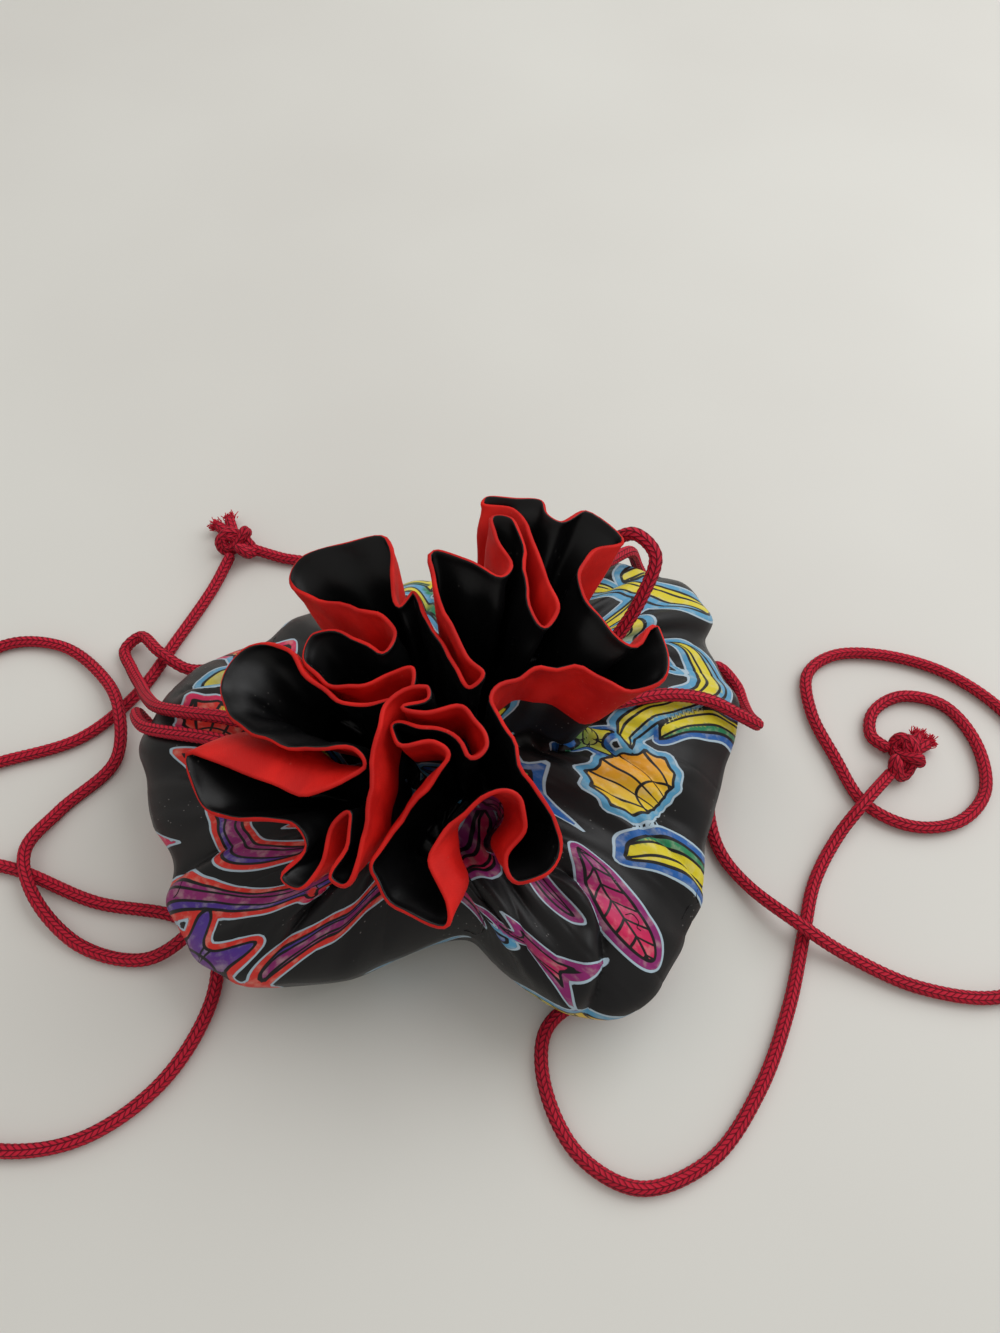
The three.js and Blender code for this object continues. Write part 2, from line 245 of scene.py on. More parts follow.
# Threads of a plain weave: Height for a bump, Tone a little lighter and darker by thread
def makeWeave():
    g = Shader("threads", group=True)
    g.sockets({"Place": "v", "Spacing": "f", "Slub": "f"}, {"Height": "f", "Tone": "f"})
    place = g.inside["Place"]
    split = g.node("ShaderNodeSeparateXYZ", _0=place).outputs
    turns = g.math("DIVIDE", 2 * math.pi, g.inside["Spacing"])
    across = g.math("SINE", g.times(split["X"], turns))
    up = g.math("SINE", g.times(split["Y"], turns))
    fuzz = g.flatNoise(place, grain["fuzzScale"], 3.0)
    height = g.math("ADD", g.times(across, up), fuzz)
    slow = g.flatNoise(place, grain["slubScale"], 4.0)
    tone = g.times(g.math("SUBTRACT", slow, 0.5), g.inside["Slub"])
    g.tree.links.new(height, g.outside["Height"])
    g.tree.links.new(g.math("ADD", tone, 1.0), g.outside["Tone"])
    return g.owner


# Small pale specks of lint, and the amount of them
def makeLint():
    g = Shader("lint", group=True)
    g.sockets({"Place": "v", "Amount": "f"}, {"Mask": "f"})
    settings = {"voronoi_dimensions": "2D", "feature": "F1"}
    specks = g.node("ShaderNodeTexVoronoi", settings, Vector=g.inside["Place"], Scale=grain["speckScale"])
    patch = g.flatNoise(g.inside["Place"], grain["patchScale"], 2.0)
    small = g.math("SUBTRACT", 1.0, g.ramp(specks.outputs["Distance"], 0.03, 0.07))
    kept = g.times(small, g.ramp(patch, 0.56, 0.66))
    g.tree.links.new(g.times(kept, g.inside["Amount"]), g.outside["Mask"])
    return g.owner


weave = makeWeave()
lint = makeLint()


# Knitted stitches in columns of V shapes, with painted shade where they meet and a painted highlight on each
# stitch's raised crown
def cordMaterial(settings):
    m = Shader("knittedCord")
    uv = m.flatPlace()
    split = m.node("ShaderNodeSeparateXYZ", _0=uv).outputs
    column = m.math("FRACT", split["Y"])
    fold = m.math("ABSOLUTE", m.math("SUBTRACT", m.times(column, 2.0), 1.0))
    slant = m.math("SUBTRACT", split["X"], m.times(fold, settings["stitchLean"]))
    wave = m.math("ABSOLUTE", m.math("SINE", m.times(slant, math.pi)))
    between = m.ramp(fold, 1.0, 0.78)
    spine = m.ramp(fold, -0.06, 0.22)
    height = m.times(m.math("POWER", wave, 0.75), m.times(between, spine))
    strands = m.node("ShaderNodeTexNoise", Vector=uv, Scale=11.0, Detail=3.0).outputs[0]
    slow = m.node("ShaderNodeTexNoise", Vector=uv, Scale=0.15, Detail=2.0).outputs[0]
    # shade is painted light from the stitch height, dark in the gaps and light on the crowns, times slow
    # random darker stretches of yarn
    shade = m.times(m.ramp(height, 0.08, 0.72), m.ramp(slow, -0.7, 0.65))
    colour = m.mix(shade, settings["dark"], settings["light"])
    # Pale fuzz laid only where the painted highlight is: partly the fibres' colour, partly painted highlight
    colour = m.mix(m.times(m.ramp(strands, 0.58, 0.8), shade), colour, settings["fibre"])
    relief = m.math("ADD", height, m.times(strands, 0.35))
    bump = m.bump(relief, 0.8, settings["yarnHeight"])
    return m.finish(colour, settings["rough"], settings["gloss"], bump)


print("cords")
cord = {
    "diameter": 0.0045,
    "sides": 24,
    "ringStep": 0.00054,
    "stitchPitch": 0.0022,      # along the cord
    "stitchColumns": 4,         # round the cord
    "stitchLean": 0.95,
    "stitchRelief": 0.00030,
    "yarnHeight": 0.0004,       # of the finer relief that the material adds
    "twist": 2.6,               # columns that pass a side in each metre
    "pointsPerSpan": 24,
    # light is the painted highlight on a stitch's crown; dark is the painted shade between stitches and the
    # colour of slow random darker stretches; fibre is the pale fuzz on the lit crowns
    "light": paint(198, 24, 52),
    "dark": paint(92, 4, 22),
    "fibre": paint(222, 62, 88),
    "rough": 0.68,
    "gloss": 0.25,
}
aboveTable = 0.00005            # the least height of a cord's surface
cordRed = cordMaterial(cord)
# Where each cord goes on the drawing, in millimetres
routes = {
    "leftShortCord": [
        (-45, 4, 60), (-56, 8, 59), (-69, 13, 56), (-84, 18, 50), (-98, 25, 40.6), (-108, 36, 27),
        (-117, 49, 13), (-125, 61, 5), (-130, 71, 3), (-124, 76, 5), (-114, 67, 8), (-102, 61, 4.5),
        (-86, 65, 2.4), (-70, 74, 2.4), (-56, 86, 2.4), (-50, 101, 2.4), (-57, 113, 2.4),
        (-72, 117, 2.4), (-86, 121, 4),
    ],
    "leftLongCord": [
        (-93, 118, 4), (-99, 101, 2.4), (-110, 76, 2.4), (-122, 51, 2.4), (-140, 32, 2.4),
        (-168, 22, 2.4), (-190, 13, 5.5), (-203, -2, 5), (-210, -30, 2.4), (-202, -68, 2.4),
        (-178, -100, 2.4), (-142, -112, 2.4), (-112, -109, 2.4), (-88, -91, 2.4), (-76, -64, 2.4),
        (-79, -45, 2.4), (-93, -37.5, 2.4), (-122, -32.5, 2.4), (-150, -21.5, 2.4), (-192, -8, 2.4),
        (-204, 26, 2.4), (-197, 58, 2.4), (-178, 74, 2.4), (-156, 73, 2.4), (-137, 59, 3.5),
        (-126, 42, 7), (-125, 22, 2.8), (-142, 2, 2.4), (-150, -14, 5), (-143, -31, 6),
        (-124, -48, 2.4), (-100, -52.5, 3), (-84, -42, 7), (-80, -24, 3), (-93, 2, 2.4),
        (-105, 26, 5), (-112, 32, 22), (-102, 18, 39), (-72, 6, 54), (-47, -3, 58.5),
    ],
    "rightShortCord": [
        (52, 15, 60.5), (76, 22, 55.5), (92, 24, 48), (104, 22.5, 40), (111.5, 22.5, 33),
        (113.5, 29.5, 22), (114.5, 37.5, 12), (115, 46, 5), (114, 55, 2.4), (107.5, 63.5, 2.4),
        (99.5, 60, 2.4), (98, 45, 2.4), (99.5, 24, 2.4), (98, -2, 2.4), (101, -15, 2.4),
        (109, -27, 3.4), (124, -42, 8), (139, -51, 4), (163, -62, 2.4), (190, -65, 2.4),
        (213, -54, 2.4), (228, -28, 2.4), (230, 6, 2.4), (219, 40, 2.4), (199, 60, 2.4),
        (174, 69, 2.4), (154, 68.5, 2.4), (143, 60, 2.4), (142, 43, 2.4), (148, 24, 2.4),
        (156, 5, 2.4), (172, -4, 2.4), (190, -2, 2.4), (202, 10, 2.4), (203, 30, 2.4), (194, 46, 2.4),
        (178, 50, 2.4), (166, 43, 2.4), (163.5, 33, 2.4), (169, 26, 4),
    ],
    "rightLongCord": [
        (168, 17, 4.5), (155, 4, 8), (144, -8, 3.5), (133, -25, 2.4), (126, -45, 2.4),
        (118, -68, 2.4), (105, -94, 2.4), (87, -115, 2.4), (64, -123, 2.4), (45, -113, 2.4),
        (35, -92, 2.4), (36, -76, 2.4), (46, -67.5, 2.4), (63, -66, 2.4), (76, -52, 2.4),
        (84, -30, 2.4), (87, -8, 2.4), (91, 14, 2.4), (91.5, 38, 2.4), (89, 58, 2.4), (87, 80, 2.4),
        (83, 96, 6), (76, 98, 22), (70, 91, 42), (60, 78, 54), (56, 69, 67), (58, 65, 83),
        (65, 62, 91), (71, 55, 89), (67, 45, 80), (60, 37, 70), (54, 32, 64), (47, 28, 60.5),
    ],
}


# Two directions square to a line at each of its points, which don't spin round it
def sideways(line):
    ahead = np.gradient(line, axis=0)
    ahead /= np.linalg.norm(ahead, axis=1)[:, None]
    across = np.cross(ahead[0], [0, 0, 1])
    across /= np.linalg.norm(across)
    kept = []
    for direction in ahead:
        across = across - direction * across.dot(direction)
        across /= np.linalg.norm(across)
        kept.append(across)
    kept = np.array(kept)
    return kept, np.cross(ahead, kept)


# Directions out of a line at each of its points, in equal steps round it
def roundLine(line, sides):
    across, over = sideways(line)
    angle = 2 * math.pi * np.arange(sides) / sides
    return across[:, None] * np.cos(angle)[None, :, None] + over[:, None] * np.sin(angle)[None, :, None]


# A knitted tube round a line, with the stitches raised
def knitTube(name, line, radius, settings, material):
    along = distances(line)
    line = pointsAt(line, np.linspace(0, along[-1], max(4, round(along[-1] / settings["ringStep"]))))
    along = distances(line)
    turn = np.arange(settings["sides"] + 1) / settings["sides"]
    columns = turn[None] * settings["stitchColumns"] + along[:, None] * settings["twist"]
    stitches = np.repeat((along / settings["stitchPitch"])[:, None], len(turn), axis=1)
    fold = np.abs(2 * (columns % 1) - 1)
    wave = np.abs(np.sin(math.pi * (stitches - fold * settings["stitchLean"]))) ** 0.8
    relief = settings["stitchRelief"] * (wave * np.clip((1 - fold) * 3, 0, 1) - 0.6)
    size = (radius + relief[:, :-1]) * endTaper(along, radius)[:, None]
    rows = line[:, None] + roundLine(line, settings["sides"]) * size[:, :, None]
    rows[..., 2] = np.maximum(rows[..., 2], aboveTable)
    uv = np.stack([stitches, columns], axis=2)
    # The rows of a tube run along it, so they are turned to face out
    piece = rowMesh(name, rows[:, ::-1], uv[:, ::-1], material, firstPole=line[0], lastPole=line[-1])
    return piece, line


# A cord's two ends are rounded over
def endTaper(along, radius):
    near = np.minimum(along, along[-1] - along)
    return np.sqrt(np.clip(1 - (1 - np.clip(near / radius, 0, 1)) ** 2, 0.02, 1))


cords = {}
for name, route in routes.items():
    line = smoothCurve(np.array(route) * millimetre - middle, cord["pointsPerSpan"])
    cords[name] = knitTube(name, line, cord["diameter"] / 2, cord, cordRed)
    print("  ", name, round(float(distances(cords[name][1])[-1]), 3), "m")


print("knots")
knotShape = {
    "size": 0.0031,             # of the overhand turn
    "turns": (-0.62, 3.76),     # radians of it from one end to the other
    "strandShift": 0.0026,      # between the two cords tied together
    "cordRadius": 0.0021,
    "tailRadius": 0.00231,
    "tailSpread": 0.28,         # radians from the middle to each tail
    "tailRise": (0.0012, -0.001),
    "tailDrop": 0.0025,         # of the tails' roots below the knot's middle
    "fibres": 130,              # in each frayed tail
    "fibreLength": 0.0028,
    "fibreRadius": 0.00020,
    "frayWidth": 0.0010,
    "frayLean": 0.16,
    "frayCurl": 0.25,
}
# Where each knot is, which way its tails point and how long they are, and the solid it stands for
knots = {
    "leftKnot": ((-0.090, 0.123, 0.0062), (-0.6, 0.8), 0.0115, "knot_left"),
    "rightKnot": ((0.174, 0.022, 0.0062), (0.7, 0.7), 0.009, "knot_right"),
}
fibreDraw = np.random.default_rng(7)


# Both cords tied in one overhand turn and pulled tight, with two frayed tails
def tieKnot(name, place, toTails, tailLength, node):
    ahead = np.array([*toTails, 0.0]) / math.hypot(*toTails)
    aside = np.array([-ahead[1], ahead[0], 0.0])
    up = np.array([0.0, 0.0, 1.0])
    centre = np.array(place) - middle
    size = knotShape["size"]
    turn = np.linspace(*knotShape["turns"], 60)
    knotLine = np.stack([
        1.15 * (np.cos(turn) - 1.15 * np.cos(2 * turn)),
        np.sin(turn) + 1.35 * np.sin(2 * turn),
        -0.95 * np.sin(3 * turn),
    ], axis=1) * size
    share = np.linspace(0, 1, 12)[:, None]
    tubes = []
    for side in (-1, 1):
        shift = side * knotShape["strandShift"] / 2
        wander = [0.2 * np.cos(turn), np.sin(turn * 0.7), -np.cos(turn * 0.7)]
        local = knotLine + shift * np.stack(wander, axis=1)
        strand = centre + local[:, :1] * ahead + local[:, 1:2] * aside + local[:, 2:] * up
        strand[:, 2] = np.maximum(strand[:, 2], knotShape["cordRadius"])
        tubes.append(knitTube(f"{name}Strand", strand, knotShape["cordRadius"], cord, cordRed)[0])
        lean = math.atan2(ahead[1], ahead[0]) + side * knotShape["tailSpread"]
        toward = np.array([math.cos(lean), math.sin(lean), 0.0])
        root = centre + ahead * size * 1.4 - up * knotShape["tailDrop"]
        rise = knotShape["tailRise"][0] * share + knotShape["tailRise"][1] * share**2
        tail = root + toward * share * tailLength + up * rise
        tail[:, 2] = np.maximum(tail[:, 2], knotShape["cordRadius"])
        tubes.append(knitTube(f"{name}Tail", tail, knotShape["tailRadius"], cord, cordRed)[0])
        tubes += fray(name, tail[-1], toward, up)
    whole = joined(name, tubes)
    dress(whole, "cord", node)
    return whole


# Loose fibres that spray from a cut end
def fray(name, root, toward, up):
    aside = np.cross(up, toward)
    share = np.linspace(0, 1, 6)[:, None]
    made = []
    for _ in range(knotShape["fibres"]):
        spread = fibreDraw.normal(0, 1, 2)
        away = aside * spread[0] + up * spread[1]
        start = root - toward * 0.001 + away * knotShape["frayWidth"]
        lean = toward + away * knotShape["frayLean"]
        long = knotShape["fibreLength"] * fibreDraw.uniform(0.4, 1.0)
        curl = (aside * fibreDraw.normal() + up * fibreDraw.normal()) * knotShape["frayCurl"]
        line = start + lean * long * share + curl * long * share**2
        line[:, 2] = np.maximum(line[:, 2], 0.0003)
        made.append(plainTube(f"{name}Fibre", line, knotShape["fibreRadius"], cordRed))
    return made


fibreSides = 5
# litStitch lies on a stitch's crown, where the cord's colour has its painted highlight, so the fray fibres
# take that lit colour
litStitch = (0.88, 0.3)         # the place on the knitted cord where a fibre takes its colour


# A thin tube round a line
def plainTube(name, line, radius, material):
    rows = line[:, None] + roundLine(line, fibreSides) * radius
    uv = np.tile(litStitch, (len(line), fibreSides + 1, 1))
    return rowMesh(name, rows[:, ::-1], uv[:, ::-1], material, firstPole=line[0], lastPole=line[-1])


tied = {name: tieKnot(name, *knot) for name, knot in knots.items()}
# The solid that each cord stands for, which end of its line leaves the bag, and its knot
solids = {
    "leftShortCord": ("drawcord_left_short", 0, "leftKnot"),
    "leftLongCord": ("drawcord_left_long", -1, "leftKnot"),
    "rightShortCord": ("drawcord_right_short", 0, "rightKnot"),
    "rightLongCord": ("drawcord_right_long", -1, "rightKnot"),
}
for name, (node, exitEnd, knotName) in solids.items():
    piece, line = cords[name]
    dress(piece, "cord", node)


print("cloth")
cloth = {
    "discRadius": 0.216,
    "headingHeight": 0.044,     # from the cords' channel to the edge
    "bandHeight": 0.025,
    "skin": 0.0004,             # half the two layers of cloth
    "columnsPerPoint": 6,
    "footRows": 9,
    "sideRows": 20,
    "shoulderRows": 46,
    "lowerRows": 10,            # of the ruffle, from the channel to the band
    "bandRows": 15,
    "innerShare": 0.06,         # of the foot, inside its first row
    "channelHeight": 0.057,
    "channelTilt": 0.06,
    "channelGather": 0.62,
    "bellyHeight": 0.030,
    "neckDrop": 0.002,
    "footSize": 0.66,
    "footHeight": 0.00065,
    "bellyStart": 0.235,        # share of the way round the belly at the edge's first point
    "easing": 35,               # passes that open the folds, from the channel to the belly
    "bulgeScale": 6.75,         # makes a bulge its full size two thirds of the way up
}
pleats = {
    "count": 78,
    "depth": 0.0028,
    "reach": 0.020,             # of cloth below the channel
    "reachUp": 0.012,
    "sway": 3.52,               # radians that the pleats wander to each side
    "swaySpacing": 0.09,
    "unevenSpacing": 0.05,
    "wrinkleDepth": 0.0008,
    "wrinkleSpacing": 0.030,
    "rippleDepth": 0.0006,      # along the ruffle's edge
    "rippleSpacing": 0.012,
    "rippleReach": 0.02,
    "foldDepth": 0.0014,        # of the long folds down the shoulder of the bag
    "foldSpacing": 0.020,
    "foldRadius": 0.12,
    "foldStretch": 0.25,
    "foldMiddle": 0.140,
    "foldReach": 0.034,
    "lineDepth": 0.0010,        # of thin creases between them
    "lineSpacing": 0.028,
    "lineWidth": 0.09,
    "breakSpacing": 0.09,       # of the stretches where they show
    "breakWidth": 0.6,
    "petalDepth": 0.0007,       # of the soft folds down each petal
    "petalSpacing": 0.011,
    "petalFade": 0.012,
    "creaseSway": 0.0015,       # how far a sharp fold wanders, and how often
    "creaseSwayRate": 90,
}
# The next three tables are in millimetres on the drawing, like the cords' routes.
# Sharp folds of the bag: where each starts and ends, how deep, how wide
creases = [
    ((37, -34, 53), (37, -78, 26), 3.2, 1.8),
    ((64, -20, 50), (88, -38, 28), 2.2, 2),
    ((54, 4, 54), (78, -12, 44), 2, 2.2),
    ((46, -6, 55), (74, -30, 44), 1.8, 2.4),
    ((-96, 30, 34), (-66, 30, 50), 2, 2),
    ((-92, -36, 26), (-58, -26, 50), 2.4, 2.4),
    ((-30, -40, 50), (-52, -66, 28), 2, 2.6),
    ((60, 74, 50), (80, 86, 34), 2, 2.2),
    ((18, -36, 52), (28, -62, 36), 1.8, 2.2),
]
bellyOutline = [
    (107, 33), (101, 47), (97, 58), (101, 68), (95, 80), (83, 89), (66, 93), (42, 92), (18, 90),
    (-6, 86), (-24, 82), (-44, 76), (-60, 66), (-66, 57), (-78, 54), (-93, 46), (-103, 31), (-106, 15),
    (-102, -1), (-96, -15), (-88, -28), (-87, -42), (-80, -54), (-66, -64), (-46, -68), (-28, -65),
    (-12, -58), (3, -54), (12, -53), (20, -59), (31, -70), (44, -77), (58, -77), (69, -71), (78, -58),
    (86, -42), (88, -28), (92, -14), (99, 3), (105, 18),
]
# The ruffle's edge, petal by petal and anticlockwise from the back left: a place, and for some
# points how far the cloth below them bulges sideways
petals = {
    "backLeft": [
        (-15, 55, 99), (-29, 54, 97), (-43, 51, 93), (-46, 44, 90), (-36, 37, 91), (-17, 29, 95),
        (-11, 21, 97), (-14, 14, 97),
    ],
    "leftInner": [
        (-26, 23, 93), (-37, 25, 90), (-39, 16, 89), (-32, 8, 90), (-23, 5, 92), (-12, 8, 95),
        (-5, 8, 98), (-5, 2, 97),
    ],
    "left": [
        (-16, -2, 95), (-27, 0, 93), (-37, 10, 90), (-46, 21, 88), (-57, 23, 86), (-64, 13, 85),
        (-61, 0, 86, 0, 2), (-52, -9, 88, 0, 6), (-38, -15, 91, 0, 5), (-21, -17, 96),
    ],
    "leftFront": [
        (-18, -22, 94), (-34, -28, 89, 0, 10), (-50, -22, 87, 0, 13), (-72, -13, 82, 0, 7),
        (-70, -21, 81), (-63, -30, 80), (-50, -33, 81), (-39, -34, 82), (-35, -40, 80), (-41, -49, 78),
        (-36, -52, 78), (-30, -46, 80), (-27, -35, 84), (-22, -33, 87),
    ],
    "narrowFront": [
        (-22, -41, 85), (-27, -50, 81), (-23, -52, 81), (-19, -45, 85), (-16, -31, 92), (-14, -12, 99),
        (-10, -3, 100), (0, 1, 101),
    ],
    "centreFold": [
        (0, -3.5, 101), (-7, -6, 100), (0, -8, 100), (10, -6, 100), (15, -11, 100), (17, -18, 100),
        (13, -21, 100), (6, -13, 99),
    ],
    "centreFront": [
        (-3, -11, 98), (-10, -10, 96), (-8, -16, 97), (2, -16, 98), (6, -20, 98),
    ],
    "front": [
        (0, -28, 92, -3, 2), (-13, -43, 84), (-15, -49, 82), (-8, -58, 80), (5, -63, 79, 3, 0),
        (6, -57, 82, 6, 0), (1, -47, 87, 6, 0), (7, -38, 90, 3, 0), (20, -30, 95),
    ],
    "frontRight": [
        (27, -32, 93), (28, -38, 89), (23, -45, 85), (26, -52, 83), (34, -50, 84), (38, -40, 87),
        (28, -24, 95), (22, -11, 99),
    ],
    "right": [
        (18, -4, 100), (24, 4, 98, 1, 2), (33, 8, 97, 0, 5), (48, 9, 94, 0, 3), (60, 4, 91),
        (71, 10, 91), (71, 20, 92), (69, 26, 93), (60, 16, 97), (50, 26, 100), (46, 34, 100),
        (46, 42, 101),
    ],
    "backRight": [
        (51, 49, 101), (60, 53, 99), (48, 64, 101), (40, 58, 103), (36, 61, 103), (34, 65.5, 104),
        (26, 66.5, 104), (16.5, 67, 104), (15.5, 64.5, 104), (25, 62.5, 104), (29, 55, 105),
        (35, 36, 104), (38, 26, 103), (34, 20, 102),
    ],
    "narrowBack": [
        (30, 27, 103), (28, 45, 105), (25, 56, 107), (19, 57, 107), (19, 50, 107), (24, 40, 105),
        (21, 36, 105),
    ],
    "back": [
        (11, 40, 108), (1, 43, 108), (2, 30, 106), (11, 10, 103), (16, 4, 102), (12, 0.5, 100),
        (8, 6, 101), (1, 20, 100), (-4, 31, 98), (-6, 36, 97), (-10, 31, 96), (-13, 42, 97),
    ],
}

mouth = np.array([0.006, -0.003])
controlPoints = np.array([p[:3] for petal in petals.values() for p in petal]) * millimetre
rim = smoothCurve(controlPoints, cloth["columnsPerPoint"], closed=True)
columns = len(rim)


# Share of the way round at each column, as the straight edges between the points count it
def sharesRound():
    steps = np.linalg.norm(np.roll(controlPoints, -1, 0) - controlPoints, axis=1)
    marks = np.concatenate([[0], np.cumsum(steps)]) / steps.sum()
    return np.interp(np.arange(columns) / cloth["columnsPerPoint"], np.arange(len(marks)), marks)


share = sharesRound()
turn = 2 * math.pi * share
bellyLine = smoothCurve(np.array(bellyOutline) * millimetre, 30, closed=True)
bellyLine = np.vstack([bellyLine, bellyLine[:1]])
bellyAlong = distances(bellyLine)
belly = pointsAt(bellyLine, (share + cloth["bellyStart"]) % 1 * bellyAlong[-1])
bagMiddle = middle[:2]


# A closed row of points after passes of averaging each with its neighbours
def eased(row, passes):
    waves = np.fft.rfft(row, axis=0)
    turnStep = 2 * math.pi * np.arange(len(waves)) / len(row)
    keep = (0.5 + 0.5 * np.cos(turnStep)) ** (passes * cloth["columnsPerPoint"] ** 2)
    return np.fft.irfft(waves * keep[:, None], len(row), axis=0)


# Sideways bulge of the cloth below each column of the edge
def bulgeRound():
    asked = np.array([(*p[3:], 0, 0)[:2] for petal in petals.values() for p in petal]) * millimetre
    marks = np.arange(len(asked) + 1)
    places = np.arange(columns) / cloth["columnsPerPoint"]
    sides = [np.interp(places, marks, np.append(side, side[0])) for side in asked.T]
    return eased(np.column_stack([*sides, np.zeros(columns)]), 0.3)


bulge = bulgeRound()
channel = np.column_stack([mouth + (rim[:, :2] - mouth) * cloth["channelGather"], np.zeros(columns)])
channel[:, 2] = cloth["channelHeight"] + channel[:, 1] * cloth["channelTilt"]


# One row of the cloth each: on the foot, up the side, over the shoulder and up the ruffle
def footRow(size):
    flat = bagMiddle + (belly - bagMiddle) * cloth["footSize"] * size
    return np.column_stack([flat, np.full(columns, cloth["footHeight"])])


def sideRow(lean):
    size = cloth["footSize"] + (1 - cloth["footSize"]) * math.sin(lean)
    height = cloth["footHeight"] + (cloth["bellyHeight"] - cloth["footHeight"]) * (1 - math.cos(lean))
    return np.column_stack([bagMiddle + (belly - bagMiddle) * size, np.full(columns, height)])


def shoulderRow(out):
    low = eased(channel, cloth["easing"] * out**1.2)
    flat = low[:, :2] + (belly - low[:, :2]) * out
    full = (1 - out**2.4) ** 0.74
    top = low[:, 2] - cloth["neckDrop"]
    return np.column_stack([flat, cloth["bellyHeight"] + (top - cloth["bellyHeight"]) * full])


def ruffleRow(up):
    out = 0.45 * up + 0.55 * up * up
    rise = up * (1.2 - 0.2 * up)
    flat = channel[:, :2] + (rim[:, :2] - channel[:, :2]) * out
    full = np.column_stack([flat, channel[:, 2] + (rim[:, 2] - channel[:, 2]) * rise])
    return full + bulge * cloth["bulgeScale"] * up * up * (1 - up)


seam = 1 - cloth["bandHeight"] / cloth["headingHeight"]
below = [footRow(s) for s in np.linspace(cloth["innerShare"], 1, cloth["footRows"])[:-1]]
below += [sideRow(a) for a in np.linspace(0, math.pi / 2, cloth["sideRows"])[:-1]]
below += [shoulderRow(1 - s) for s in np.linspace(0, 1, cloth["shoulderRows"])[:-1]]
ups = np.concatenate([np.linspace(0, seam, cloth["lowerRows"]), np.linspace(seam, 1, cloth["bandRows"])[1:]])
surface = np.array(below + [ruffleRow(up) for up in ups])
channelAt = len(below)
seamAt = channelAt + cloth["lowerRows"] - 1
lastRow = len(surface) - 1

# Radius on the flat disc at each row: the mean length of cloth from the middle of the foot
steps = np.linalg.norm(np.diff(surface[:channelAt + 1], axis=0), axis=2).mean(axis=1)
innerRadius = np.linalg.norm(surface[0, :, :2] - bagMiddle, axis=1).mean()
run = innerRadius + np.concatenate([[0], np.cumsum(steps)])
channelRadius = cloth["discRadius"] - cloth["headingHeight"]
rowRadius = np.concatenate([run * channelRadius / run[-1], channelRadius + ups[1:] * cloth["headingHeight"]])
headings = np.stack([np.cos(turn), np.sin(turn)], axis=1)
disc = rowRadius[:, None, None] * headings


# Smooth waves over the disc, about as far apart as spacing, from -1 to 1
def clothNoise(place, spacing, seed, count=14):
    draw = np.random.default_rng(seed)
    total = np.zeros(place.shape[:-1])
    for _ in range(count):
        way = draw.uniform(0, 2 * math.pi)
        wave = 2 * math.pi / (spacing * draw.uniform(0.75, 1.4))
        run = place[..., 0] * math.cos(way) + place[..., 1] * math.sin(way)
        total += np.sin(wave * run + draw.uniform(0, 6.28))
    return total / math.sqrt(count / 2) / 1.6


# Directions square to the cloth, away from the lining
def outward(rows):
    sideWay = np.roll(rows, -1, axis=1) - np.roll(rows, 1, axis=1)
    normal = np.cross(sideWay, np.gradient(rows, axis=0))
    return normal / np.maximum(np.linalg.norm(normal, axis=2), 1e-12)[..., None]


# Thin lines where smooth waves cross nought: 1 on a line, 0 away from it
def crossings(place, spacing, seed, width):
    return np.exp(-np.abs(clothNoise(place, spacing, seed)) / width)


# Where a point of the drawing lies on the flat disc
def discPlace(point):
    away = np.linalg.norm(surface[:channelAt] - np.array(point) * millimetre, axis=2)
    return disc[np.unravel_index(away.argmin(), away.shape)]


# A sharp fold from one place on the bag to another: a valley with a soft bulge beside it
def creaseDepth(start, end, depth, width):
    a, b = discPlace(start), discPlace(end)
    depth, width = depth * millimetre, width * millimetre
    way = b - a
    long = np.linalg.norm(way)
    way /= long
    along = (disc - a) @ way
    across = (disc - a) @ np.array([-way[1], way[0]])
    across += pleats["creaseSway"] * np.sin(along * pleats["creaseSwayRate"])
    ends = rising(along, 0, 0.25 * long) * rising(long - along, 0, 0.25 * long)
    valley = -np.exp(-np.abs(across) / width)
    swell = 0.7 * np.exp(-((across - 3 * width) / (2.2 * width)) ** 2)
    return depth * (valley + swell) * ends


